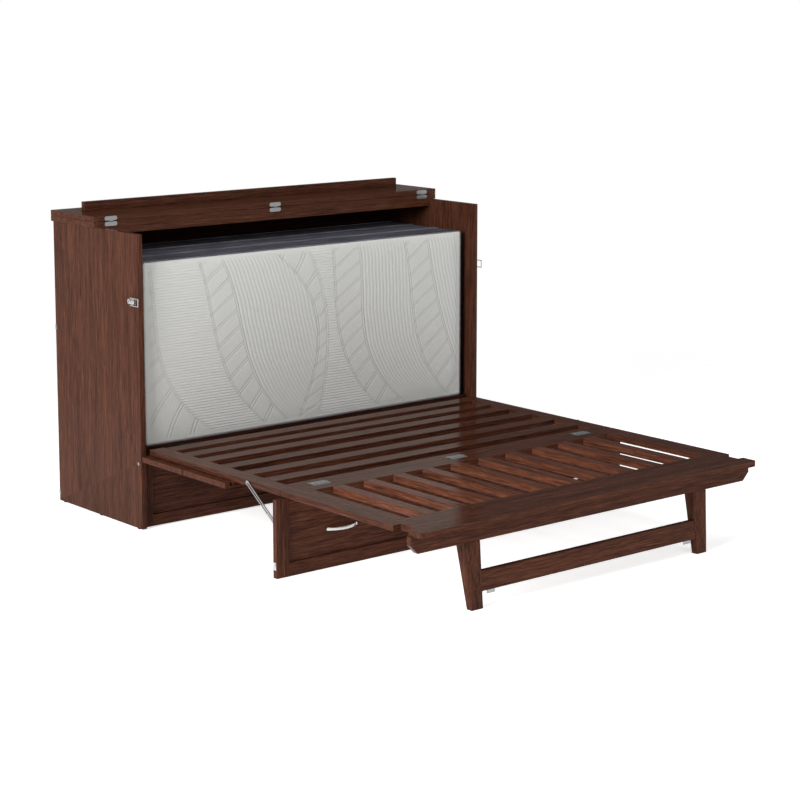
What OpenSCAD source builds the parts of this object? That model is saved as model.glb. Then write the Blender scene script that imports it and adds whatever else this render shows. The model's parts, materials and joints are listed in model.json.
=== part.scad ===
// Cabinet wall bed, unfolded: a wooden chest whose front folds down into a slatted platform.
// Lengths are in millimetres and +Z is up. The open bed runs towards -Y.
// The origin is on the floor, under the middle of the open bed's outline.

/* [Cabinet] */
// Width over the two side panels
cabinet_w = 1616; // [1600:1:1640]
// Depth of the side panels
cabinet_d = 577; // [570:1:620]
// Height of the side panels
cabinet_h = 1078; // [1078:1:1120]
// Thickness of the wooden boards
board_t = 20; // [18:1:22]
// How far the top boards reach past each side
top_overhang = 10; // [4:1:16]
// Where the top splits into a fixed rear board and a lid
top_split_y = 272; // [240:1:300]

/* [Platform] */
// Width over the platform's side rails
platform_w = 1555; // [1540:1:1560]
// Height of the platform's top face
platform_top = 296; // [290:1:300]
// Distance from the cabinet's front to the folding seam
seam_reach = 798; // [790:1:798]
// Distance from the cabinet's front to the foot end
foot_reach = 1520; // [1490:1:1530]
// Width of the cross slats
cross_slat_w = 63; // [50:1:66]
// Number of slats in the foot section
foot_slat_count = 10; // [6:1:10]
// Width of the foot section's slats
foot_slat_w = 47; // [40:1:60]

/* [Fronts] */
// Depth of each of the two fixed front panels
door_depth = 262; // [250:1:262]
// Height of the drop panel
drop_h = 268; // [240:1:268]

/* [Legs] */
// Width of a leg at the floor
leg_foot_w = 48; // [36:1:60]
// Width of a leg under the apron
leg_top_w = 68; // [50:1:72]
// Height of the stretcher between the legs
stretcher_h = 65; // [40:1:90]

/* [Mattress] */
// Width of the folded mattress
mattress_w = 1524; // [1500:1:1530]
// Height of the folded mattress
mattress_h = 677; // [600:1:690]
// Thickness of one mattress section
section_t = 150; // [120:1:150]

/* [Hidden] */
$fn = 32;
joint_gap = 0.1;         // between boards that are butted together
move_gap = 0.5;          // between pieces that slide past each other
back_t = 10;             // thickness of the cabinet's back
glide_h = 4;             // height of the floor glides
half_w = cabinet_w / 2;
inner_half = half_w - board_t;
platform_half = platform_w / 2;
platform_low = platform_top - board_t;
origin_shift = (foot_reach - cabinet_d) / 2;

// hinge axes, each given as [distance along Y, height]
fold_axis = [0, platform_low - 2];
seam_axis = [-seam_reach, platform_top + 0.8];
drop_axis = [-seam_reach - 1.5, platform_low - 3.5];
leg_axis = [-foot_reach + 90, platform_low - 4];
lid_axis = [top_split_y, cabinet_h + board_t + 0.75];

// hinge hardware
leaf_t = 1.6;
pin_clearance = 0.05;
hinge_x = [-614, 0, 614];
lid_hinge_x = [-745, 0, 745];
leg_x = 530;

// fixed lower front and what stands behind it
lower_front_y = 17;
lower_stile = 38;
lower_rail = 43;
deck_front = lower_front_y + board_t + 3;
cleat_w = 25;
cleat_h = 30;
deck_post_x = 260;
deck_post_t = 20;
lower_front_top = fold_axis[1] - 4;

// platform section
side_rail_w = 63;
end_rail_w = 54;
platform_rear = -8;
platform_front = -seam_reach + 0.5;
door_top = platform_low - 2;
close_pitch = 110;
wide_pitch = 128.5;
first_slat_y = -47;
slat_centres = concat(
    [for (i = [0:2]) first_slat_y - i * close_pitch],
    [for (i = [1:3]) first_slat_y - 2 * close_pitch - i * wide_pitch]);

// discs that hold the front panels off the slats
disc_x = [250, 700];
disc_y = [-60, -157, -290, -394];
disc_r = 12;

// foot section
foot_rail_w = 91;
start_rail_w = 68;
foot_board_d = 177;
foot_board_rear = -foot_reach + foot_board_d;
foot_slat_t = 24;
foot_slat_pitch = 130;
apron_front = -foot_reach + 43;
apron_low = platform_low - 58;

// drop panel
drop_front = -seam_reach - board_t;
drop_top = drop_axis[1] - 3;
drop_low = drop_top - drop_h;
drop_stile = 52;
drop_rail = 46;
field_recess = 8;
pull_x = 531;
pull_span = 128;
pull_rise = 23;
pull_t = 4;

// stays
stay_x = 780;
stay_t = 3;
stay_pivot = [-seam_reach + 10, 168];
stay_pin = [-621, platform_low + 10];
stay_reach = norm(stay_pin - stay_pivot);
stay_angle = atan2(stay_pin[1] - stay_pivot[1], stay_pin[0] - stay_pivot[0]);
stay_travel = 134;
stay_pocket_rear = -482;
stay_pocket_t = 14;

// fixed top and lid
top_gap = 0.6;           // from the split to each of the two boards
rear_rail_h = 28;
lid_low = cabinet_h + board_t + 1;
lid_depth = cabinet_d - top_split_y - top_gap;
lid_rail_y = 446;
lid_rail_half = 752;
lid_rail_h = 36;

// heights of the brackets on the cabinet's rear edges
bracket_z = [35, 675];

// latches
latch_z = 835;
latch_out = 7;
latch_pivot_y = 22;
hook_at = [-3.5, 14];
side_bolt = [15, 245];

wood = [0.23, 0.13, 0.10];
wood_edge = [0.42, 0.20, 0.14];
wood_dark = [0.15, 0.09, 0.07];
steel = [0.72, 0.73, 0.74];
knit = [0.76, 0.77, 0.75];
border = [0.36, 0.36, 0.40];
black = [0.08, 0.08, 0.08];

// ---------- shared shapes ----------

// a box between two corners
module block(low, high) {
    translate(low) cube(high - low);
}

// a shape and its mirror image across the bed's middle
module both_sides() {
    children();
    mirror([1, 0, 0]) children();
}

// a rod along X between two places, its axis at [y, z]
module rod_x(x0, x1, at, r) {
    translate([x0, at[0], at[1]]) rotate([0, 90, 0]) cylinder(r = r, h = x1 - x0);
}

// a rectangle with round corners, its lower edge on the X axis
module round_plate(length, reach, r) {
    translate([-length / 2 + r, 0]) square([length - 2 * r, reach]);
    translate([-length / 2, 0]) square([length, reach - r]);
    for (x = [-1, 1]) translate([x * (length / 2 - r), reach - r]) circle(r = r);
}

// the stretches of a hinge's barrel that one half owns
function knuckles(length, middle) = middle
    ? [[-length / 6 + 0.3, length / 6 - 0.3]]
    : [[-length / 2, -length / 6], [length / 6, length / 2]];

function screw_places(length, reach) = [for (x = [-1, 1]) [x * length * 0.34, reach * 0.62]];

// one half of a hinge about the X axis; its leaf's outline is the child, turned by turn
module hinge_half(hinge, low, turn, middle, screws) {
    r = hinge[2];
    barrel = hinge[3];
    difference() {
        union() {
            difference() {
                rotate([turn, 0, 0]) translate([0, 0, low]) linear_extrude(leaf_t) children();
                for (k = knuckles(barrel, !middle)) rod_x(k[0] - 0.4, k[1] + 0.4, [0, 0], r + 0.4);
            }
            for (k = knuckles(barrel, middle)) rod_x(k[0], k[1], [0, 0], r);
        }
        rod_x(-barrel, barrel, [0, 0], r / 2 + pin_clearance);
        rotate([turn, 0, 0]) for (p = screws)
            translate([p[0], p[1], low - 1]) cylinder(r = 2.4, h = leaf_t + 2);
    }
}

// one half of a butt hinge, with a leaf that reaches this far from the axis
module butt_half(hinge, reach, low, turn, middle) {
    hinge_half(hinge, low, turn, middle, screw_places(hinge[0], reach))
        round_plate(hinge[0], reach, 3);
}

// the two screws of one leaf, sunk a little below its outer face
module leaf_screws(length, reach, low, turn, outside) {
    rotate([turn, 0, 0]) for (p = screw_places(length, reach))
        translate([p[0], p[1], low + (outside > 0 ? 0.1 : 0.3)])
            cylinder(r = 2.3, h = leaf_t - 0.4);
}

module at_hinges(axis, places) {
    for (x = places) translate([x, axis[0], axis[1]]) children();
}

// four boards butted into a frame in the XZ plane
module panel_frame(half, z0, z1, y0, stile, rail) {
    both_sides() block([half - stile, y0, z0], [half, y0 + board_t, z1]);
    inner = half - stile - joint_gap;
    block([-inner, y0, z0], [inner, y0 + board_t, z0 + rail]);
    block([-inner, y0, z1 - rail], [inner, y0 + board_t, z1]);
}

// the thin board that fills such a frame, set back from its front
module panel_field(half, z0, z1, y0, stile, rail) {
    inner = half - stile - joint_gap;
    block([-inner, y0 + field_recess, z0 + rail + joint_gap],
          [inner, y0 + field_recess + 6, z1 - rail - joint_gap]);
}

// ---------- hinge sets: [length, reach, barrel radius, barrel length] ----------
fold_hinge = [64, 36, 4, 64];
seam_hinge = [72, 22, 2.5, 72];
drop_hinge = [64, 26, 2.6, 64];
lid_hinge = [54, 18, 3, 18];
leg_hinge = [50, 24, 3, 50];
oval_leaf_start = 2.5;
fold_leaf = 44;
fold_low = -4;
fold_moving_low = -leaf_t - 0.2;
seam_low = -leaf_t - 0.2;
seam_foot_low = 0.2;
drop_low_leaf = 1.9;
drop_panel_leaf = -0.1;
lid_leaf = 0.6;
leg_board_leaf = 2.4;
leg_leaf = -3.6;

// ---------- cabinet ----------
module side_panel() {
    color(wood) difference() {
        block([inner_half, 0, glide_h], [half_w, cabinet_d, cabinet_h]);
        rod_x(half_w - 6, half_w + 1, side_bolt, 4);
    }
}
module side_panel_left() mirror([1, 0, 0]) side_panel();
module side_panel_right() side_panel();

module back_panel() {
    color(wood) block([-inner_half + joint_gap, cabinet_d - back_t, glide_h],
                      [inner_half - joint_gap, cabinet_d, cabinet_h - joint_gap]);
}

module rear_top() {
    reach = half_w + top_overhang;
    color(wood) difference() {
        block([-reach, top_split_y + top_gap, cabinet_h], [reach, cabinet_d, cabinet_h + board_t]);
        at_hinges(lid_axis, lid_hinge_x) oval_pocket(lid_leaf, -90);
    }
}

module rear_top_rail() {
    color(wood) block([-inner_half + joint_gap, top_split_y, cabinet_h - rear_rail_h],
                      [inner_half - joint_gap, top_split_y + board_t, cabinet_h - joint_gap]);
}

module lower_front_frame() {
    color(wood) panel_frame(inner_half - joint_gap, glide_h, lower_front_top, lower_front_y,
                            lower_stile, lower_rail);
}

module lower_front_field() {
    color(wood) panel_field(inner_half, glide_h, lower_front_top, lower_front_y,
                            lower_stile, lower_rail);
}

module mattress_deck() {
    color(wood_dark) block([-inner_half + joint_gap, deck_front, platform_low],
                           [inner_half - joint_gap, cabinet_d - back_t - joint_gap, platform_top]);
}

module deck_cleats() {
    color(wood_dark) {
        top = platform_low - joint_gap;
        rear_cleat_front = cabinet_d - back_t - cleat_w - 1;
        side_cleat_rear = rear_cleat_front - 4;
        rear_half = inner_half - cleat_w - 5;
        both_sides() block([inner_half - cleat_w, deck_front, platform_low - cleat_h],
                           [inner_half - joint_gap, side_cleat_rear, top]);
        block([-rear_half, rear_cleat_front, platform_low - cleat_h],
              [rear_half, cabinet_d - back_t - joint_gap, top]);
        both_sides() block([deck_post_x - deck_post_t / 2, deck_front, glide_h],
                           [deck_post_x + deck_post_t / 2, side_cleat_rear, top]);
    }
}

module floor_glides() {
    color(black) both_sides() for (y = [30, cabinet_d / 2, cabinet_d - 30])
        translate([half_w - board_t / 2, y, 0]) cylinder(r = 9, h = glide_h);
}

module rear_brackets() {
    color(steel) both_sides() for (z = bracket_z) {
        block([half_w, cabinet_d - 12, z - 9], [half_w + 2, cabinet_d, z + 9]);
        rod_x(half_w + 2, half_w + 3.2, [cabinet_d - 6, z], 3);
    }
}

// plate of a draw latch with two ears that hold the lever's pin
module latch_base() {
    block([half_w, 14, latch_z - 12], [half_w + 2, 50, latch_z + 12]);
    for (z = [-11, 8.5])
        block([half_w + 1, 16, latch_z + z], [half_w + 11, 28, latch_z + z + 2.5]);
    translate([half_w + latch_out, latch_pivot_y, latch_z - 11]) cylinder(r = 2, h = 22);
}
module latch_bases() color(steel) both_sides() latch_base();

module cabinet_screws() {
    color(steel) {
        both_sides() {
            rod_x(half_w, half_w + 2.4, side_bolt, 5.5);
            rod_x(half_w - 5, half_w, side_bolt, 3.9);
            for (z = [-9, 9]) rod_x(half_w + 2, half_w + 3.2, [46, latch_z + z], 2.6);
        }
        at_hinges(lid_axis, lid_hinge_x) leaf_screws(lid_hinge[0], lid_hinge[1], lid_leaf, -90, 1);
        at_hinges(fold_axis, hinge_x) leaf_screws(fold_hinge[0], fold_hinge[1], fold_low, 0, -1);
    }
}

module fold_hinge_fixed() {
    color(steel) at_hinges(fold_axis, hinge_x)
        butt_half(fold_hinge, fold_hinge[1], fold_low, 0, false);
}

module lid_hinge_fixed() {
    color(steel) at_hinges(lid_axis, lid_hinge_x)
        oval_half(lid_leaf, -90, false);
}

// the pins of one set of hinges
module pins(axis, places, hinge) {
    at_hinges(axis, places) rod_x(-hinge[3] / 2, hinge[3] / 2, [0, 0], hinge[2] / 2);
}

module cabinet_hinge_pins() {
    color(steel) {
        pins(fold_axis, hinge_x, fold_hinge);
        pins(lid_axis, lid_hinge_x, lid_hinge);
    }
}

// the room a hinge takes in a board: its barrel and a let-in leaf, whose outline is the child
module hinge_room(hinge, low, turn) {
    rod_x(-hinge[3] / 2 - 0.5, hinge[3] / 2 + 0.5, [0, 0], hinge[2] + 0.4);
    rotate([turn, 0, 0]) translate([0, 0, low - (low < 0 ? 0.1 : 3)])
        linear_extrude(leaf_t + 3.1) children();
}

module hinge_pocket(hinge, low, turn) {
    hinge_room(hinge, low, turn)
        translate([-hinge[0] / 2 - 0.1, 0]) square([hinge[0] + 0.2, hinge[1] + 0.1]);
}

// oval leaf of a lid hinge, with a neck that reaches its barrel
module oval_leaf(grow) {
    r = (lid_hinge[1] - oval_leaf_start) / 2;
    far = lid_hinge[0] / 2 - r;
    neck = lid_hinge[3] / 2 + grow;
    translate([-far, oval_leaf_start - grow]) square([2 * far, 2 * (r + grow)]);
    for (x = [-far, far]) translate([x, oval_leaf_start + r]) circle(r = r + grow);
    translate([-neck, 0]) square([2 * neck, oval_leaf_start + r]);
}

module oval_half(low, turn, middle) {
    hinge_half(lid_hinge, low, turn, middle, screw_places(lid_hinge[0], lid_hinge[1]))
        oval_leaf(0);
}

module oval_pocket(low, turn) {
    hinge_room(lid_hinge, low, turn) oval_leaf(0.1);
}

// ---------- lid ----------
module lid_board() {
    reach = half_w + top_overhang;
    color(wood) difference() {
        block([-reach, top_split_y + top_gap, lid_low],
              [reach, top_split_y + top_gap + lid_depth, lid_low + board_t]);
        at_hinges(lid_axis, lid_hinge_x) oval_pocket(-lid_leaf - leaf_t, 90);
    }
}

module lid_rail() {
    low = lid_low + board_t;
    color(wood) block([-lid_rail_half, lid_rail_y, low],
                      [lid_rail_half, lid_rail_y + board_t, low + lid_rail_h]);
}

module lid_hinge_moving() {
    color(steel) at_hinges(lid_axis, lid_hinge_x)
        oval_half(-lid_leaf - leaf_t, 90, true);
}

module lid_screws() {
    color(steel) at_hinges(lid_axis, lid_hinge_x)
        leaf_screws(lid_hinge[0], lid_hinge[1], -lid_leaf - leaf_t, 90, -1);
}

// ---------- latches ----------
// lever seen from its pivot: a barrel on the pin, a flat handle and the barrel that holds the hook
module latch_lever() {
    color(steel) translate([-half_w - latch_out, latch_pivot_y, latch_z]) difference() {
        union() {
            translate([0, 0, -8]) cylinder(r = 4, h = 16);
            translate([-4, 0, -7]) cube([3, 24, 14]);
            rod_x(-4, -1, [24, 0], 9.5);
            translate([hook_at[0], hook_at[1], -7]) cylinder(r = 3, h = 14);
        }
        translate([0, 0, -20]) cylinder(r = 2 + pin_clearance, h = 40);
        translate([hook_at[0], hook_at[1], -20]) cylinder(r = 1.3 + pin_clearance, h = 40);
        rod_x(-5, 0, [26, 0], 2.5);
    }
}
module latch_lever_left() latch_lever();
module latch_lever_right() mirror([1, 0, 0]) latch_lever();

// wire loop that the lever draws back: a rod in the lever, two arms and a crossbar in front
module latch_hook() {
    arm = 2.4;
    front = -latch_pivot_y - hook_at[1] - 14;
    color(steel)
        translate([-half_w - latch_out + hook_at[0], latch_pivot_y + hook_at[1], latch_z]) {
            translate([0, 0, -15]) cylinder(r = 1.3, h = 30);
            for (z = [-15, 15 - arm])
                translate([-arm / 2, front, z]) cube([arm, -front + arm / 2, arm]);
            translate([-arm / 2, front, -15]) cube([arm, arm, 30]);
        }
}
module latch_hook_left() latch_hook();
module latch_hook_right() mirror([1, 0, 0]) latch_hook();

// ---------- platform section ----------
module platform_rail() {
    color(wood_edge) block([platform_half - side_rail_w, platform_front, platform_low],
                           [platform_half, platform_rear, platform_top]);
}
module platform_rail_left() mirror([1, 0, 0]) platform_rail();
module platform_rail_right() platform_rail();

slat_half = platform_half - side_rail_w - joint_gap;

module platform_slats() {
    color(wood) for (y = slat_centres)
        block([-slat_half, y - cross_slat_w / 2, platform_low],
              [slat_half, y + cross_slat_w / 2, platform_top]);
}

module platform_end_rail() {
    color(wood) difference() {
        block([-slat_half, platform_front, platform_low],
              [slat_half, -seam_reach + end_rail_w, platform_top]);
        at_hinges(seam_axis, hinge_x) hinge_pocket(seam_hinge, seam_low, 0);
    }
}

module door_panel(order) {
    rear = -6 - order * (door_depth - 6);
    color(wood_edge) block([-half_w, -(order + 1) * door_depth + 1, door_top - board_t],
                           [half_w, rear - order * 6, door_top]);
}
module door_panel_lower() door_panel(0);

// the upper one has a pocket on each side of its inner face, for the swinging stay's end
module door_panel_upper() {
    difference() {
        door_panel(1);
        both_sides() block([stay_x - 4, -2 * door_depth, door_top - stay_pocket_t],
                           [stay_x + stay_t + 4, stay_pocket_rear, door_top + 1]);
    }
}

module fold_hinge_moving() {
    color(steel) at_hinges(fold_axis, hinge_x)
        butt_half(fold_hinge, fold_leaf, fold_moving_low, 180, true);
}

module seam_hinge_platform() {
    color(steel) at_hinges(seam_axis, hinge_x)
        butt_half(seam_hinge, seam_hinge[1], seam_low, 0, false);
}

module drop_hinge_platform() {
    color(steel) at_hinges(drop_axis, hinge_x)
        butt_half(drop_hinge, drop_hinge[1], drop_low_leaf, 0, false);
}

module platform_hinge_pins() {
    color(steel) {
        pins(seam_axis, hinge_x, seam_hinge);
        pins(drop_axis, hinge_x, drop_hinge);
    }
}

// hinge screws, the discs between the slats and the front panels, and the stays' studs
module platform_fixings() {
    color(steel) {
        at_hinges(seam_axis, hinge_x) leaf_screws(seam_hinge[0], seam_hinge[1], seam_low, 0, 1);
        at_hinges(drop_axis, hinge_x) leaf_screws(drop_hinge[0], drop_hinge[1], drop_low_leaf, 0, 1);
        at_hinges(fold_axis, hinge_x) leaf_screws(fold_hinge[0], fold_leaf, fold_moving_low, 180, 1);
        both_sides() rod_x(platform_half, stay_x - move_gap, stay_pin, 5);
    }
    color(black) both_sides() for (x = disc_x, y = disc_y)
        translate([x, y, door_top]) cylinder(r = disc_r, h = platform_low - door_top);
}

// ---------- drop panel ----------
module drop_panel_frame() {
    color(wood) difference() {
        panel_frame(half_w, drop_low, drop_top, drop_front, drop_stile, drop_rail);
        at_hinges(drop_axis, hinge_x) hinge_pocket(drop_hinge, drop_panel_leaf, -90);
    }
}

module drop_panel_field() {
    color(wood) panel_field(half_w, drop_low, drop_top, drop_front, drop_stile, drop_rail);
}

// bow handle: a flat bar bent to an arc, on two round feet
module pull() {
    bow_r = (pow(pull_span / 2, 2) + pow(pull_rise, 2)) / (2 * pull_rise);
    half_angle = asin(pull_span / 2 / bow_r);
    translate([0, bow_r - pull_rise - pull_t, 0]) rotate([0, 0, -90 - half_angle])
        rotate_extrude(angle = 2 * half_angle, $fn = 96)
            translate([bow_r - pull_t, -5]) square([pull_t, 10]);
    for (x = [-1, 1]) translate([x * (pull_span / 2 - 3), 0, 0]) rotate([90, 0, 0])
        cylinder(r = 5.5, h = 6);
}

module pulls() {
    color(steel) both_sides()
        translate([pull_x, drop_front + field_recess, (drop_low + drop_top) / 2]) pull();
}

module catch_plates() {
    color(steel) both_sides() {
        block([half_w, drop_front + 3, 30], [half_w + 1.6, drop_front + 17, 56]);
        block([half_w + 1.6, drop_front + 5, 41], [half_w + 4, drop_front + 8, 53]);
    }
}

module drop_hinge_panel() {
    color(steel) at_hinges(drop_axis, hinge_x)
        butt_half(drop_hinge, drop_hinge[1], drop_panel_leaf, -90, true);
}

// angle screwed to the panel's back, with the pin that the stay turns on
module stay_bracket() {
    back = -seam_reach;
    z = stay_pivot[1];
    block([762, back, z - 18], [787, back + leaf_t, z + 18]);
    block([784, back, z - 12], [787, stay_pivot[0] + 8, z + 12]);
    rod_x(stay_x - 1, 785, stay_pivot, 2.5);
}
module stay_brackets() color(steel) both_sides() stay_bracket();

// ---------- stays ----------
// slotted flat bar from the bracket's pin up to the pin on the platform's rail
module stay() {
    bar_w = 14;
    color(steel) translate([stay_x, stay_pivot[0], stay_pivot[1]]) rotate([stay_angle, 0, 0])
    rotate([90, 0, 90]) linear_extrude(stay_t) difference() {
        union() {
            circle(r = bar_w / 2);
            translate([0, -bar_w / 2]) square([stay_reach + 6, bar_w]);
            translate([stay_reach + 6, 0]) circle(r = bar_w / 2);
        }
        circle(r = 2.5 + pin_clearance);
        translate([stay_reach - stay_travel, -2.75]) square([stay_travel, 5.5]);
        for (x = [stay_reach - stay_travel, stay_reach]) translate([x, 0]) circle(r = 2.75);
    }
}
module stay_left() mirror([1, 0, 0]) stay();
module stay_right() stay();

// ---------- foot section ----------
foot_start = -seam_reach - 1;

module foot_rail() {
    color(wood_edge) block([platform_half - foot_rail_w, foot_board_rear + joint_gap, platform_low],
                           [platform_half, foot_start, platform_top]);
}
module foot_rail_left() mirror([1, 0, 0]) foot_rail();
module foot_rail_right() foot_rail();

foot_inner = platform_half - foot_rail_w - joint_gap;

module foot_start_rail() {
    color(wood) difference() {
        block([-foot_inner, foot_start - start_rail_w, platform_low],
              [foot_inner, foot_start, platform_top]);
        at_hinges(seam_axis, hinge_x) hinge_pocket(seam_hinge, seam_foot_low, 180);
    }
}

// wide board across the foot end, with a notch in each end and round front corners
module foot_board() {
    half = platform_half - 4;
    notch = 26;
    r = 12;
    notch_far = -foot_reach + 64;
    notch_near = -foot_reach + 132;
    color(wood_edge) translate([0, 0, platform_low]) linear_extrude(board_t) {
        both_sides() {
            translate([0, notch_near]) square([platform_half, foot_board_rear - notch_near]);
            translate([0, notch_far]) square([half - notch, notch_near - notch_far]);
            translate([0, -foot_reach + r]) square([half, notch_far + foot_reach - r]);
            translate([0, -foot_reach]) square([half - r, r]);
            translate([half - r, -foot_reach + r]) circle(r = r);
        }
    }
}

module foot_apron() {
    half = platform_half + 3.5;
    chamfer = 29;
    color(wood) translate([0, apron_front + board_t, 0]) rotate([90, 0, 0]) linear_extrude(board_t)
        polygon([
            [-half, platform_low - joint_gap], [-half, apron_low + chamfer],
            [-half + chamfer, apron_low], [half - chamfer, apron_low],
            [half, apron_low + chamfer], [half, platform_low - joint_gap]]);
}

module foot_slats() {
    first = -foot_slat_pitch * (foot_slat_count - 1) / 2;
    color(wood_edge) for (i = [0:foot_slat_count - 1])
        translate([first + i * foot_slat_pitch, 0, 0])
            block([-foot_slat_w / 2, foot_board_rear + joint_gap, platform_top - foot_slat_t],
                  [foot_slat_w / 2, foot_start - start_rail_w - joint_gap, platform_top]);
}

module seam_hinge_foot() {
    color(steel) at_hinges(seam_axis, hinge_x)
        butt_half(seam_hinge, seam_hinge[1], seam_foot_low, 180, true);
}

leg_places = [-leg_x, leg_x];

module leg_hinge_foot() {
    color(steel) at_hinges(leg_axis, leg_places)
        butt_half(leg_hinge, leg_hinge[1], leg_board_leaf, 0, false);
}

// the leg hinges' pins and the screws of both sets of hinges
module foot_fixings() {
    color(steel) {
        pins(leg_axis, leg_places, leg_hinge);
        at_hinges(seam_axis, hinge_x)
            leaf_screws(seam_hinge[0], seam_hinge[1], seam_foot_low, 180, -1);
        at_hinges(leg_axis, leg_places)
            leaf_screws(leg_hinge[0], leg_hinge[1], leg_board_leaf, 0, 1);
    }
}

// ---------- leg frame ----------
leg_outer = 546;
leg_inner = leg_outer - leg_foot_w;
leg_lean = 22;
leg_flare = 15;
leg_t = 24;
leg_front = apron_front - 20;
leg_top = leg_axis[1];
leg_top_inner = leg_outer + leg_flare - leg_top_w;

// how far a leg's inner face is from the middle at height z
function leg_inside(z) = leg_inner + (leg_top_inner - leg_inner) * z / apron_low;

// leg seen from the side: it leans forward and its shoulder sits under the apron
module leg_side() {
    shoulder_front = leg_front + leg_lean;
    tongue_front = apron_front + board_t + 1;
    polygon([
        [leg_front, 0], [leg_front + leg_t, 0],
        [leg_axis[0] - 3.6, apron_low + 6], [leg_axis[0] - 3.6, leg_top],
        [tongue_front, leg_top], [tongue_front, apron_low - 1],
        [shoulder_front, apron_low - 1]]);
}

// leg seen from the front: wider at the top
module leg_face() {
    polygon([
        [leg_inner, 0], [leg_outer, 0],
        [leg_outer + leg_flare, apron_low], [leg_outer + leg_flare, leg_top],
        [leg_top_inner, leg_top], [leg_top_inner, apron_low]]);
}

module leg() {
    color(wood) intersection() {
        translate([leg_inner - 40, 0, 0]) rotate([90, 0, 90]) linear_extrude(140) leg_side();
        translate([0, leg_axis[0] + 20, 0]) rotate([90, 0, 0]) linear_extrude(140) leg_face();
    }
}
module leg_left() mirror([1, 0, 0]) leg();
module leg_right() leg();

stretcher_low = 54;

// board between the legs: it leans with them, and its ends follow their inner faces
module leg_stretcher() {
    lean = leg_lean / apron_low;
    front = leg_front + stretcher_low * lean + 1;
    top = stretcher_low + stretcher_h;
    end_low = leg_inside(stretcher_low) - joint_gap;
    end_top = leg_inside(top) - joint_gap;
    color(wood) intersection() {
        rotate([90, 0, 90]) translate([0, 0, -leg_outer]) linear_extrude(2 * leg_outer)
            polygon([
                [front, stretcher_low], [front + board_t, stretcher_low],
                [front + board_t + stretcher_h * lean, top], [front + stretcher_h * lean, top]]);
        translate([0, leg_axis[0], 0]) rotate([90, 0, 0]) linear_extrude(120)
            polygon([
                [-end_low, stretcher_low - 1], [end_low, stretcher_low - 1],
                [end_top, top + 1], [-end_top, top + 1]]);
    }
}

// small plates that hang under the stretcher, one beside each leg
module stretcher_brackets() {
    color(steel) both_sides() {
        block([439, leg_front + 9, stretcher_low - 12], [473, leg_front + 12, stretcher_low - 2]);
        block([439, leg_front + 9, stretcher_low - 2],
              [473, leg_front + 25, stretcher_low - joint_gap]);
    }
}

module leg_hinge_leaves() {
    color(steel) at_hinges(leg_axis, leg_places)
        butt_half(leg_hinge, leg_hinge[1], leg_leaf, -90, true);
}

// ---------- mattress ----------
mattress_front = 39;

// one of three sections standing on their edges, one behind the other
module mattress_section(order) {
    low = platform_top + move_gap;
    front = mattress_front + order * (section_t + 0.6);
    color(order == 0 ? knit : border)
        block([-mattress_w / 2, front, low], [mattress_w / 2, front + section_t, low + mattress_h]);
}
module mattress_front_section() mattress_section(0);
module mattress_middle_section() mattress_section(1);
module mattress_rear_section() mattress_section(2);

// ---------- drawing ----------
module placed() {
    translate([0, origin_shift, 0]) children();
}

placed() side_panel_left();
placed() side_panel_right();
placed() back_panel();
placed() rear_top();
placed() rear_top_rail();
placed() lower_front_frame();
placed() lower_front_field();
placed() mattress_deck();
placed() deck_cleats();
placed() floor_glides();
placed() rear_brackets();
placed() latch_bases();
placed() cabinet_screws();
placed() fold_hinge_fixed();
placed() lid_hinge_fixed();
placed() cabinet_hinge_pins();
placed() lid_board();
placed() lid_rail();
placed() lid_hinge_moving();
placed() lid_screws();
placed() latch_lever_left();
placed() latch_lever_right();
placed() latch_hook_left();
placed() latch_hook_right();
placed() platform_rail_left();
placed() platform_rail_right();
placed() platform_slats();
placed() platform_end_rail();
placed() door_panel_lower();
placed() door_panel_upper();
placed() fold_hinge_moving();
placed() seam_hinge_platform();
placed() drop_hinge_platform();
placed() platform_hinge_pins();
placed() platform_fixings();
placed() drop_panel_frame();
placed() drop_panel_field();
placed() pulls();
placed() catch_plates();
placed() drop_hinge_panel();
placed() stay_brackets();
placed() stay_left();
placed() stay_right();
placed() foot_rail_left();
placed() foot_rail_right();
placed() foot_start_rail();
placed() foot_board();
placed() foot_apron();
placed() foot_slats();
placed() seam_hinge_foot();
placed() leg_hinge_foot();
placed() foot_fixings();
placed() leg_left();
placed() leg_right();
placed() leg_stretcher();
placed() stretcher_brackets();
placed() leg_hinge_leaves();
placed() mattress_front_section();
placed() mattress_middle_section();
placed() mattress_rear_section();
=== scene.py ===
"""The opened cabinet bed: walnut boards, steel hardware and a quilted folding mattress."""
import json
import math

import bmesh
import bpy
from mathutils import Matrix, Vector


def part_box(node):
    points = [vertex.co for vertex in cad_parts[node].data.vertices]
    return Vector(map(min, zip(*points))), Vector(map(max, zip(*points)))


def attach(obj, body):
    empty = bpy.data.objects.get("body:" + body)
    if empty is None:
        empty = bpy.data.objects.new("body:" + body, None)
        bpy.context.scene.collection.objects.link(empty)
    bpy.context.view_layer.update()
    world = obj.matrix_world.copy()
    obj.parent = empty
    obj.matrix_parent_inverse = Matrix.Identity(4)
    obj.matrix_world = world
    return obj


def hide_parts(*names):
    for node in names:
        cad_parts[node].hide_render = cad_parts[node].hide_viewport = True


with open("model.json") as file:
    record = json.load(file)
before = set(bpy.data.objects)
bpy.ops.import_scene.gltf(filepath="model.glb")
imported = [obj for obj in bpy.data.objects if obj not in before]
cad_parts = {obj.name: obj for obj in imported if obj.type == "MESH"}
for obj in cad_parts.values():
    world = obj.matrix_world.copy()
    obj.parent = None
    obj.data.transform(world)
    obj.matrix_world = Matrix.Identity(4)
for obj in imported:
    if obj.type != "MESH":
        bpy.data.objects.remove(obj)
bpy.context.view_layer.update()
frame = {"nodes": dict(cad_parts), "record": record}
NODES = frame["nodes"]

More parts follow.
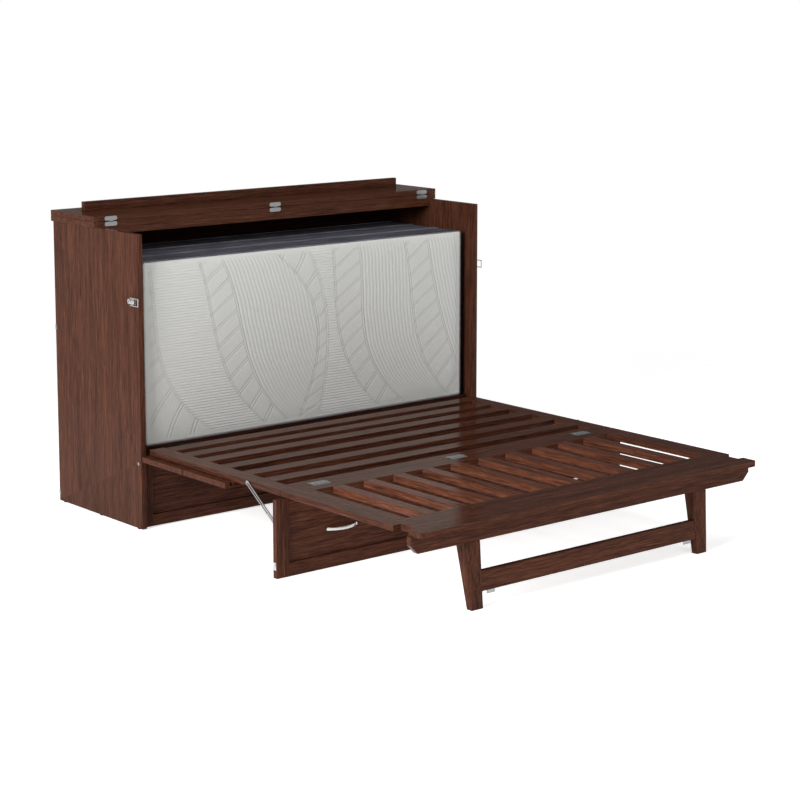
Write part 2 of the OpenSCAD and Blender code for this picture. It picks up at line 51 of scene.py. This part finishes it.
# ---------- camera, light and floor ----------
CAMERA_PLACE = (-4.842, -5.844, 1.976)
CAMERA_PAN = 39.706       # degrees to the right of +Y
CAMERA_PITCH = 8.546      # degrees below the horizon
CAMERA_LENS = 95.13       # mm, on a 36 mm sensor
CAMERA_SHIFT = -0.13

# each light's place, what it faces, its width and height, its power, and whether it is mirrored
LIGHTS = [
    ("key", (-6.6, -1.4, 3.0), (0, 0, 0.5), (3.0, 2.4), 500, False),
    ("fill", (1.0, -9.0, 4.6), (0, 0, 0.6), (5.0, 4.0), 225, True),
    ("above", (0, -0.4, 4.5), (0, -0.2, 0), (4.0, 4.0), 58, True)]
# how bright the surround is, from the horizon (0) to straight up (1)
SURROUND = [(0.0, 1.0), (0.05, 0.25), (0.12, 0.09), (0.6, 0.09), (1.0, 0.3)]
FLOOR_COLOUR = (0.90, 0.90, 0.90, 1)
FLOOR_GLOW = 0.75
FLOOR_FADE = (1.9, 4.6)   # distance from the middle where the floor starts and ends fading


def add_camera():
    data = bpy.data.cameras.new("camera")
    data.lens = CAMERA_LENS
    data.shift_y = CAMERA_SHIFT
    data.clip_end = 100
    camera = bpy.data.objects.new("camera", data)
    camera.location = CAMERA_PLACE
    camera.rotation_euler = (math.radians(90 - CAMERA_PITCH), 0, math.radians(-CAMERA_PAN))
    bpy.context.scene.collection.objects.link(camera)
    bpy.context.scene.camera = camera


def add_area_light(name, place, aim, size, power, mirrored):
    data = bpy.data.lights.new(name, "AREA")
    data.shape = "RECTANGLE"
    data.size, data.size_y = size
    data.energy = power
    light = bpy.data.objects.new(name, data)
    light.location = place
    light.rotation_euler = (Vector(aim) - Vector(place)).to_track_quat("-Z", "Y").to_euler()
    light.visible_glossy = mirrored
    bpy.context.scene.collection.objects.link(light)


def add_surround():
    """White at and below the horizon, dim above it, so that glossy tops don't wash out."""
    world = bpy.data.worlds.new("surround")
    world.use_nodes = True
    nodes, links = world.node_tree.nodes, world.node_tree.links
    height = nodes.new("ShaderNodeSeparateXYZ")
    links.new(nodes.new("ShaderNodeTexCoord").outputs["Generated"], height.inputs[0])
    ramp = nodes.new("ShaderNodeValToRGB")
    links.new(height.outputs["Z"], ramp.inputs["Fac"])
    set_stops(ramp, [(at, (grey, grey, grey)) for at, grey in SURROUND])
    links.new(ramp.outputs["Color"], nodes["Background"].inputs["Color"])
    bpy.context.scene.world = world
    bpy.context.scene.view_settings.view_transform = "Standard"


def add_floor():
    """A pale floor that fades into the white surround some way from the bed."""
    bpy.ops.mesh.primitive_plane_add(size=4 * FLOOR_FADE[1])
    floor = bpy.context.object
    floor.name = "floor"
    shader = Shader("floor")
    away = shader.add("VectorMath", {"operation": "LENGTH"}, i0=shader.place()).outputs["Value"]
    fade = shader.add("MapRange", {"interpolation_type": "SMOOTHSTEP"}, Value=away,
                      From_Min=FLOOR_FADE[0], From_Max=FLOOR_FADE[1], To_Min=1.0, To_Max=0.0)
    floor.data.materials.append(shader.finish(
        Base_Color=FLOOR_COLOUR, Roughness=0.8, Specular_IOR_Level=0.0,
        Emission_Color=FLOOR_COLOUR, Emission_Strength=FLOOR_GLOW,
        Alpha=fade.outputs["Result"]))


def add_studio():
    """A soft key from the left, a softer fill in front and a wide light above."""
    add_surround()
    for light in LIGHTS:
        add_area_light(*light)
    add_floor()


# ---------- node-tree helpers ----------
def set_stops(ramp, stops):
    """Gives a colour ramp its stops, each a place from 0 to 1 and a colour."""
    elements = ramp.color_ramp.elements
    while len(elements) < len(stops):
        elements.new(0.5)
    for element, (place, colour) in zip(elements, stops):
        element.position = place
        element.color = (*colour, 1)


class Shader:
    """A material whose nodes are added and wired one line at a time."""

    def __init__(self, name):
        self.material = bpy.data.materials.new(name)
        self.material.use_nodes = True
        self.tree = self.material.node_tree
        self.surface = self.tree.nodes["Principled BSDF"]

    def add(self, kind, settings=(), **inputs):
        made = self.tree.nodes.new("ShaderNode" + kind)
        for key, value in dict(settings).items():
            setattr(made, key, value)
        for key, value in inputs.items():
            self.set(made, key.replace("_", " "), value)
        return made

    def set(self, made, key, value):
        socket = made.inputs[int(key[1:]) if key[:1] == "i" and key[1:].isdigit() else key]
        if isinstance(value, bpy.types.NodeSocket):
            self.tree.links.new(value, socket)
        else:
            socket.default_value = value

    def math(self, operation, a, b=0.0):
        return self.add("Math", {"operation": operation}, i0=a, i1=b).outputs[0]

    def scaled(self, value, factor, offset):
        return self.math("ADD", self.math("MULTIPLY", value, factor), offset)

    def weighted(self, *parts, start=None):
        """The sum of (value, weight) pairs, added in order to start where it is given."""
        total = start
        for value, weight in parts:
            part = self.math("MULTIPLY", value, weight)
            total = part if total is None else self.math("ADD", total, part)
        return total

    def wave(self, value, pitch):
        return self.math("SINE", self.math("MULTIPLY", value, 2 * math.pi / pitch))

    def place(self):
        return self.add("TexCoord").outputs["Object"]

    def noise(self, vector, scale, detail=4.0, roughness=0.55, distortion=0.0):
        made = self.add("TexNoise", Vector=vector, Scale=scale, Detail=detail,
                        Roughness=roughness, Distortion=distortion)
        return made.outputs["Fac"]

    def ramp(self, factor, stops):
        made = self.add("ValToRGB", Fac=factor)
        set_stops(made, stops)
        return made.outputs["Color"]

    def stretch(self, vector, scale):
        return self.add("Mapping", Vector=vector, Scale=scale).outputs["Vector"]

    def bump(self, height, distance, strength=1.0, normal=None):
        made = self.add("Bump", Height=height, Distance=distance, Strength=strength)
        if normal is not None:
            self.set(made, "Normal", normal)
        return made.outputs["Normal"]

    def finish(self, **inputs):
        for key, value in inputs.items():
            self.set(self.surface, key.replace("_", " "), value)
        return self.material


# ---------- walnut ----------
GRAIN_STRETCH = 34.0
WALNUT_DARK = (0.017, 0.0064, 0.0039)
WALNUT_MID = (0.056, 0.0200, 0.0115)
WALNUT_LIGHT = (0.118, 0.0415, 0.0230)
WALNUT_STOPS = [(0.38, WALNUT_DARK), (0.50, WALNUT_MID), (0.62, WALNUT_LIGHT)]
BOARD_DRIFT = (9.0, 23.0, 5.0)            # moves the grain, so that no two boards are alike
# each layer of the grain: scale, detail, roughness and, where there is one, distortion
FIGURE = (1.3, 6.0, 0.7, 0.3)
STREAKS = (11.0, 3.0, 0.6)
FIBRES = (30.0, 3.0, 0.7)
DASHES = (16.0, 2.0, 0.5)
PORE_LIMIT = 0.40                         # dashes below this are open pores
WALNUT_SPECULAR = 0.04


def grain_scale(along):
    return [1.0 if axis == along else GRAIN_STRETCH for axis in "XYZ"]


def walnut(name, along, turned_beyond=None, shade=1.0):
    """Lacquered walnut whose grain runs along one axis.

    Beyond turned_beyond from the middle the grain stands upright, as in a frame's end stiles.
    """
    shader = Shader(name)
    real = shader.place()
    island = shader.add("NewGeometry").outputs["Random Per Island"]
    shifts = {axis: shader.math("MULTIPLY", island, far) for axis, far in zip("XYZ", BOARD_DRIFT)}
    drift = shader.add("CombineXYZ", **shifts).outputs["Vector"]
    place = shader.add("VectorMath", {"operation": "ADD"}, i0=real, i1=drift).outputs["Vector"]
    grain = shader.stretch(place, grain_scale(along))
    if turned_beyond is not None:
        across = shader.add("SeparateXYZ", Vector=real).outputs["X"]
        upright = shader.math("GREATER_THAN", shader.math("ABSOLUTE", across), turned_beyond)
        turned = shader.stretch(place, grain_scale("Z"))
        mix = shader.add("Mix", {"data_type": "VECTOR"}, i0=upright, i4=grain, i5=turned)
        grain = mix.outputs[1]
    figure, streaks, fibres, dashes = [shader.noise(grain, *layer)
                                       for layer in (FIGURE, STREAKS, FIBRES, DASHES)]
    pores = shader.math("LESS_THAN", dashes, PORE_LIMIT)
    tone = shader.weighted((figure, 0.30), (streaks, 0.46), (fibres, 0.24), (island, 0.035),
                           (pores, -0.045))
    # shade scales the walnut's colour: below 1 it is painted shade, above 1 painted light
    stops = [(at, [shade * part for part in colour]) for at, colour in WALNUT_STOPS]
    relief = shader.math("SUBTRACT", fibres, shader.math("MULTIPLY", pores, 0.5))
    return shader.finish(Base_Color=shader.ramp(tone, stops),
                         Roughness=shader.scaled(fibres, 0.08, 0.11),
                         Specular_IOR_Level=WALNUT_SPECULAR,
                         Normal=shader.bump(relief, 0.0002, 0.15))


# ---------- metals and plastic ----------
def brushed_metal(name, colour, roughness):
    shader = Shader(name)
    place = shader.place()
    lines = shader.noise(shader.stretch(place, grain_scale("X")), 90.0, 3.0, 0.6)
    blotches = shader.noise(place, 30.0, 3.0, 0.5)
    bright = [min(1.0, part * 1.12) for part in colour]
    dull = [part * 0.82 for part in colour]
    tone = shader.weighted((lines, 0.5), (blotches, 0.5))
    rough = shader.scaled(tone, 0.18, roughness - 0.09)
    return shader.finish(Base_Color=shader.ramp(tone, [(0.3, dull), (0.7, bright)]),
                         Metallic=1.0, Roughness=rough, Normal=shader.bump(lines, 0.00006, 0.4))


def moulded_plastic(name, colour):
    shader = Shader(name)
    place = shader.place()
    speckle = shader.noise(place, 900.0, 2.0, 0.5)
    light = [part * 1.5 for part in colour]
    return shader.finish(Base_Color=shader.ramp(speckle, [(0.35, colour), (0.7, light)]),
                         Roughness=0.7, Specular_IOR_Level=0.1,
                         Normal=shader.bump(speckle, 0.0001, 0.4))


# ---------- fabrics ----------
LOOP_SIZE = (0.0022, 0.0026)              # width and height of one loop of the knit
# the knit's colour along its tone; the darkest end is painted shade in the grooves
KNIT_STOPS = [(0.0, (0.40, 0.40, 0.375)), (0.75, (0.55, 0.552, 0.525)),
              (1.0, (0.61, 0.612, 0.587))]


def knit_cover():
    """White quilted knit: the mesh holds the quilting, the colour is darker in its grooves as
    painted shade, and the loops are bumps.
    """
    shader = Shader("knit_cover")
    place = shader.place()
    height = shader.add("Attribute", {"attribute_name": "quilt"}).outputs["Fac"]
    ribbed = shader.add("Attribute", {"attribute_name": "ribbed"}).outputs["Fac"]
    axes = shader.add("SeparateXYZ", Vector=place)
    rib = shader.math("MULTIPLY", shader.wave(axes.outputs["Z"], RIB_PITCH), ribbed)
    across, upward = [shader.wave(axes.outputs[axis], pitch)
                      for axis, pitch in zip("XZ", LOOP_SIZE)]
    loops = shader.math("MULTIPLY", across, upward)
    mottle = shader.noise(place, 55.0, 4.0, 0.6)
    # painted shade: the tone falls with the kept quilt depth, so grooves and cells are darker in
    # colour
    tone = shader.weighted((mottle, 0.12), (rib, 0.05), start=shader.scaled(height, 0.42, 0.46))
    relief = shader.bump(rib, 0.0008, 0.7)
    relief = shader.bump(loops, 0.0002, 0.5, relief)
    return shader.finish(Base_Color=shader.ramp(tone, KNIT_STOPS), Roughness=0.88,
                         Sheen_Weight=0.15, Sheen_Roughness=0.5, Normal=relief)


def border_cloth(name, dark, light):
    """Grey woven border with long fine streaks, as on a mattress's edge band."""
    shader = Shader(name)
    place = shader.place()
    streaks = shader.noise(shader.stretch(place, (2.5, 60.0, 60.0)), 3.0, 3.0, 0.6)
    weave = shader.noise(shader.stretch(place, (220.0, 700.0, 700.0)), 1.0, 2.0, 0.5)
    tone = shader.weighted((streaks, 0.75), (weave, 0.25))
    return shader.finish(Base_Color=shader.ramp(tone, [(0.40, dark), (0.60, light)]),
                         Roughness=0.92, Specular_IOR_Level=0.15,
                         Normal=shader.bump(weave, 0.0004, 0.6))


# ---------- carried-over CAD nodes ----------
EASED_EDGE = 0.0012
METAL_EDGE = 0.0003
FOLD_ANGLE = math.radians(35)
# material, the axis its grain runs along, its shade (below 1 is painted shade, above 1 painted
# light), and the boards that have it
BOARDS = [
    ("walnut_upright", "Z", 1.0, ["side_panel_left", "side_panel_right", "leg_left", "leg_right"]),
    ("walnut_across", "X", 1.0, ["rear_top", "rear_top_rail", "lid_board", "lid_rail",
                                 "platform_slats", "platform_end_rail", "door_panel_lower",
                                 "door_panel_upper", "foot_start_rail", "foot_board",
                                 "foot_apron", "leg_stretcher", "drop_panel_field"]),
    ("walnut_lengthwise", "Y", 1.0, ["platform_rail_left", "platform_rail_right",
                                     "foot_rail_left", "foot_rail_right"]),
    # painted shade: the back panel, deck and cleats get a darkened copy of the walnut for the shade
    # under the lid
    ("walnut_inside_painted_shade", "X", 0.4, ["back_panel", "mattress_deck", "deck_cleats"]),
    # painted light: the foot slats get a lighter copy of the walnut for the light falling on their
    # sides
    ("walnut_slats_painted_light", "Y", 1.5, ["foot_slats"]),
    # painted shade: the lower front field gets a darkened copy of the walnut for the shadow it
    # stands in
    ("walnut_lower_field_painted_shade", "X", 0.8, ["lower_front_field"])]
# frames whose end stiles stand upright: the stile's width and the shade, where 0.8 on the lower
# front frame is painted shade
FRAMES = [("lower_front_frame", 0.038, 0.8), ("drop_panel_frame", 0.052, 1)]
SEAM_HINGES = ["seam_hinge_platform", "seam_hinge_foot"]


def dress(names, material, edge):
    """Gives CAD nodes a material and slightly rounded edges; their own meshes stay as they are."""
    for name in names:
        obj = NODES[name]
        obj.data.materials.clear()
        obj.data.materials.append(material)
        weld = obj.modifiers.new("weld", "WELD")
        weld.merge_threshold = 0.00001
        bevel = obj.modifiers.new("eased_edges", "BEVEL")
        bevel.width = edge
        bevel.segments = 2
        bevel.limit_method = "ANGLE"
        bevel.angle_limit = FOLD_ANGLE


def dress_boards():
    for material, along, shade, names in BOARDS:
        dress(names, walnut(material, along, shade=shade), EASED_EDGE)
    for name, stile_w, shade in FRAMES:
        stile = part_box(name)[1].x - stile_w
        dress([name], walnut("walnut_" + name, "X", stile, shade), EASED_EDGE)


def dress_hardware():
    zinc = brushed_metal("zinc_steel", (0.34, 0.35, 0.35), 0.36)
    nickel = brushed_metal("satin_nickel", (0.62, 0.61, 0.59), 0.27)
    slots = {row["node"]: row["material_slot"] for row in frame["record"]["subparts"]}
    # painted light: the seam hinges get a lighter copy of the zinc colour for the light they catch;
    # their higher roughness is real
    dress(SEAM_HINGES, brushed_metal("dull_zinc_painted_light", (0.44, 0.46, 0.46), 0.55), METAL_EDGE)
    dress([n for n in NODES if slots[n] == "zinc_steel" and n not in SEAM_HINGES], zinc, METAL_EDGE)
    dress([n for n in NODES if slots[n] == "satin_nickel"], nickel, METAL_EDGE)
    dress(["floor_glides"], moulded_plastic("black_plastic", (0.012, 0.012, 0.012)), METAL_EDGE)


# ---------- mattress ----------
SECTIONS = ["mattress_front_section", "mattress_middle_section", "mattress_rear_section"]
CORNER_R = 0.011          # rounding of a section's edges
GRID = 0.020              # spacing of a section's mesh before the simulation
FINE_CUTS = 7             # extra cuts on the quilted face
SLACK = 0.004             # how far each section starts inside its CAD solid
SWELL_CAP = 0.0038        # how far the simulation may move a point
SIM_FRAMES = 20
SEAM_BAND = 1.6           # held at the edges within this many corner radii
CLOTH = {
    "quality": 5, "mass": 0.4, "tension_stiffness": 25, "compression_stiffness": 25,
    "bending_stiffness": 6, "vertex_group_mass": "seams", "use_pressure": True,
    "uniform_pressure_force": 4.0}
OUTWARD = 0.55            # faces that look out this much have the knit cover
PIPING_R = 0.0022
PIPING_INSET = 0.004      # from a section's front and rear faces


def grid_line(low, high):
    """Positions from low to high, closer together at the two ends, where the edge is rounded."""
    ends = [CORNER_R * part for part in (0.0, 0.25, 0.5, 0.75)]
    count = max(2, round((high - low - 2 * CORNER_R) / GRID))
    step = (high - low - 2 * CORNER_R) / count
    middle = [low + CORNER_R + i * step for i in range(count + 1)]
    return [low + e for e in ends] + middle + [high - e for e in reversed(ends)]


def rounded_box(low, high):
    """A closed grid mesh of a box whose edges and corners are rounded by CORNER_R."""
    lines = [grid_line(low[axis], high[axis]) for axis in range(3)]
    mesh = bmesh.new()
    seen = {}

    def corner(index):
        if index not in seen:
            point = Vector([lines[axis][index[axis]] for axis in range(3)])
            core = Vector([min(max(point[axis], low[axis] + CORNER_R), high[axis] - CORNER_R)
                           for axis in range(3)])
            out = point - core
            seen[index] = mesh.verts.new(core + out.normalized() * CORNER_R)
        return seen[index]

    for axis in range(3):
        first, second = [other for other in range(3) if other != axis]
        for side in (0, len(lines[axis]) - 1):
            for i in range(len(lines[first]) - 1):
                for j in range(len(lines[second]) - 1):
                    around = []
                    for di, dj in ((0, 0), (1, 0), (1, 1), (0, 1)):
                        index = [0, 0, 0]
                        index[axis], index[first], index[second] = side, i + di, j + dj
                        around.append(corner(tuple(index)))
                    mesh.faces.new(around)
    bmesh.ops.recalc_face_normals(mesh, faces=mesh.faces)
    return mesh


def edge_weight(point, low, high):
    """1 on a section's edges, where seams hold the cloth, and 0 well inside its faces."""
    gaps = sorted(min(point[a] - low[a], high[a] - point[a]) for a in range(3))
    return 1.0 if gaps[1] < CORNER_R * SEAM_BAND else 0.0


def swell(obj, low, high):
    """Blows the section up a little with cloth pressure while its edges stay where they are."""
    group = obj.vertex_groups.new(name="seams")
    rest = [v.co.copy() for v in obj.data.vertices]
    for index, point in enumerate(rest):
        group.add([index], edge_weight(point, low, high), "REPLACE")
    cloth = obj.modifiers.new("cloth", "CLOTH")
    for key, value in CLOTH.items():
        setattr(cloth.settings, key, value)
    cloth.settings.effector_weights.gravity = 0
    cloth.collision_settings.use_collision = False
    cloth.point_cache.frame_start = 1
    cloth.point_cache.frame_end = SIM_FRAMES
    scene = bpy.context.scene
    for step in range(1, SIM_FRAMES + 1):
        scene.frame_set(step)
    shaped = obj.evaluated_get(bpy.context.evaluated_depsgraph_get())
    moved = [v.co.copy() for v in shaped.data.vertices]
    obj.modifiers.remove(cloth)
    scene.frame_set(1)
    for vertex, start, end in zip(obj.data.vertices, rest, moved):
        shift = end - start
        if shift.length > SWELL_CAP:
            shift = shift.normalized() * SWELL_CAP
        vertex.co = start + shift


# each quilt seam's distance from the left edge, as a cubic in the way down from top (0) to foot (1)
SEAMS = [
    (0.015, 0.151, -0.437, 0.593), (0.232, 0.270, -0.444, 0.493),
    (0.330, 0.406, -0.668, 0.586), (0.571, 0.917, -1.155, 0.350),
    (0.732, 0.399, -0.470, 0.120), (0.855, 0.086, -0.246, 0.401),
    (0.982, 0.164, -0.527, 0.614), (1.208, 0.233, -0.486, 0.506),
    (1.332, 0.104, 0.075, 0.060)]
FIELDS = ["rungs", "ribs", "rungs", "lines", "rungs", "ribs", "rungs", "lines", "rungs", "lines"]
LINE_PITCH = 0.017
RUNG_PITCH = 0.062
RUNG_SLANT = 0.60
RIB_PITCH = 0.0105
WEAVE_PITCH = 0.013       # fine diagonal ribs between the rungs
SEAM_DEPTH = 0.0011
LINE_DEPTH = 0.0006
CELL_DEPTH = 0.0004
SEAM_WIDTH = 0.0035
TWIN_GAP = 0.009          # between the two stitched lines of a seam
FIRST_FIELD_W = 0.30      # how far left of the first seam its field would start
LINE_SWAY = 0.0012        # how far the lines sway from the seam beside them
QUILT_MARGIN = 0.012      # plain strip along the edges, and how far the quilting takes to fade in


def groove(distance, width):
    return (1.0 - (distance / width) ** 2) ** 2 if abs(distance) < width else 0.0


def twin_groove(distance):
    return groove(distance, SEAM_WIDTH) + groove(distance - TWIN_GAP, SEAM_WIDTH)


def seam_places(v):
    """Where each seam is at v, none of them left of the one before."""
    places = []
    for curve in SEAMS:
        place = sum(part * v ** power for power, part in enumerate(curve))
        places.append(max([place] + places[-1:]))
    return places


def quilt_at(u, v, tall):
    """The quilting at u from the left and v down from the top (0 to 1): depth in m, and rib."""
    places = seam_places(v)
    depth = SEAM_DEPTH * min(1.0, sum(twin_groove(u - place) for place in places))
    order = sum(place < u for place in places)
    left = places[order - 1] if order else places[0] - FIRST_FIELD_W
    kind = FIELDS[order]
    if kind == "lines":
        sway = LINE_SWAY * math.sin(v * tall * 45 + 3 * order)
        turn = (u - left + sway) / LINE_PITCH
        depth += LINE_DEPTH * (0.5 - 0.5 * math.cos(2 * math.pi * turn))
    elif kind == "rungs":
        off = (v * tall + RUNG_SLANT * (u - left)) % RUNG_PITCH
        weave = 0.5 + 0.5 * math.sin(2 * math.pi * (v * tall - u) / WEAVE_PITCH)
        depth += SEAM_DEPTH * twin_groove(off - RUNG_PITCH / 2) + CELL_DEPTH * weave
    return depth, 1.0 if kind == "ribs" else 0.0


def quilt(obj, low, high):
    """Presses the quilting into the front face, and keeps its depth for the material, which paints
    shade into the grooves from it.
    """
    mesh = bmesh.new()
    mesh.from_mesh(obj.data)
    front = [f for f in mesh.faces if f.normal.y < -0.9]
    edges = list({e for f in front for e in f.edges})
    bmesh.ops.subdivide_edges(mesh, edges=edges, cuts=FINE_CUTS, use_grid_fill=True)
    mesh.normal_update()
    tall = high.z - low.z
    height = mesh.verts.layers.float.new("quilt")
    ribbed = mesh.verts.layers.float.new("ribbed")
    for vertex in mesh.verts:
        vertex[height] = 1.0
        if vertex.normal.y > -0.9:
            continue
        u, down = vertex.co.x - low.x, high.z - vertex.co.z
        inside = min(u, down, high.x - vertex.co.x, vertex.co.z - low.z)
        fade = min(1.0, max(0.0, (inside - QUILT_MARGIN) / QUILT_MARGIN))
        depth, rib = quilt_at(u, down / tall, tall)
        vertex.co.y += depth * fade
        # kept for the material, which darkens the colour here as painted shade
        vertex[height] = 1.0 - fade * depth / SEAM_DEPTH
        vertex[ribbed] = rib * fade
    mesh.to_mesh(obj.data)
    mesh.free()


def link_mesh(name, mesh, *materials):
    data = bpy.data.meshes.new(name)
    mesh.to_mesh(data)
    mesh.free()
    obj = bpy.data.objects.new(name, data)
    bpy.context.scene.collection.objects.link(obj)
    for material in materials:
        data.materials.append(material)
    return obj


def smooth(obj):
    for polygon in obj.data.polygons:
        polygon.use_smooth = True


def hoop(y, low, high, r, sides=8, turns=10):
    """A closed cord around a section's outline at depth y, as a list of rings for a tube."""
    bend = CORNER_R
    route = []
    for cx, cz, start in ((high.x - bend, high.z - bend, 0), (low.x + bend, high.z - bend, 90),
                          (low.x + bend, low.z + bend, 180), (high.x - bend, low.z + bend, 270)):
        for i in range(turns + 1):
            angle = math.radians(start + 90 * i / turns)
            out = Vector((math.cos(angle), 0, math.sin(angle)))
            route.append((Vector((cx, y, cz)) + out * bend, out))
    rings = []
    for centre, out in route:
        ring = []
        for i in range(sides):
            angle = 2 * math.pi * i / sides
            ring.append(centre + out * r * math.cos(angle) + Vector((0, r * math.sin(angle), 0)))
        rings.append(ring)
    return rings


def tube(mesh, rings):
    made = [[mesh.verts.new(point) for point in ring] for ring in rings]
    sides = len(rings[0])
    for i, ring in enumerate(made):
        after = made[(i + 1) % len(made)]
        for j in range(sides):
            k = (j + 1) % sides
            mesh.faces.new((ring[j], ring[k], after[k], after[j]))


def cover_outside(piece, order):
    """Puts the knit on the folded mattress's front and rear faces, and the border elsewhere."""
    for polygon in piece.data.polygons:
        front = order == 0 and polygon.normal.y < -OUTWARD
        rear = order == 2 and polygon.normal.y > OUTWARD
        polygon.material_index = 1 if front or rear else 0


def add_piping(name, low, high, cord):
    mesh = bmesh.new()
    for y in (low.y + PIPING_INSET, high.y - PIPING_INSET):
        tube(mesh, hoop(y, low, high, PIPING_R))
    bmesh.ops.recalc_face_normals(mesh, faces=mesh.faces)
    piping = link_mesh(name, mesh, cord)
    smooth(piping)
    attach(piping, "mattress")


def build_section(order, knit, border, cord):
    node = SECTIONS[order]
    where = node.split("_")[1]
    low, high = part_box(node)
    inner_low = low + Vector((SLACK, SLACK, 0))
    inner_high = high - Vector((SLACK, SLACK, SLACK))
    piece = link_mesh("mattress_" + where, rounded_box(inner_low, inner_high), border, knit)
    swell(piece, inner_low, inner_high)
    if order == 0:
        quilt(piece, inner_low, inner_high)
    cover_outside(piece, order)
    smooth(piece)
    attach(piece, "mattress")
    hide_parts(node)
    add_piping("piping_" + where, inner_low, inner_high, cord)


def add_mattress():
    knit = knit_cover()
    border = border_cloth("grey_border", (0.024, 0.024, 0.032), (0.110, 0.108, 0.132))
    cord = border_cloth("grey_piping", (0.07, 0.07, 0.085), (0.17, 0.17, 0.195))
    for order in range(len(SECTIONS)):
        build_section(order, knit, border, cord)


# ---------- hinge caps ----------
CAP_AT = (-0.614, 0.0, 0.614)
# a cap's top and its lip: size, then the middle's Y and Z from the first slat's rear top edge
CAP_BOXES = [((0.064, 0.0125, 0.003), 0.00625, -0.001), ((0.064, 0.003, 0.018), 0.0017, -0.010)]


def add_hinge_caps():
    """Black cover plates over the folding hinges, at the rear edge of the first slat."""
    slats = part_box("platform_slats")[1]
    mesh = bmesh.new()
    for x in CAP_AT:
        for size, back, up in CAP_BOXES:
            place = (x, slats.y + back, slats.z + up)
            made = bmesh.ops.create_cube(mesh, size=1.0)["verts"]
            bmesh.ops.scale(mesh, vec=size, verts=made)
            bmesh.ops.translate(mesh, vec=place, verts=made)
    caps = link_mesh("hinge_caps", mesh, moulded_plastic("black_cap", (0.004, 0.004, 0.004)))
    rounding = caps.modifiers.new("rounding", "BEVEL")
    rounding.width = 0.001
    rounding.segments = 2
    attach(caps, "platform")


# ---------- assembly ----------
add_camera()
add_studio()
dress_boards()
dress_hardware()
add_mattress()
add_hinge_caps()
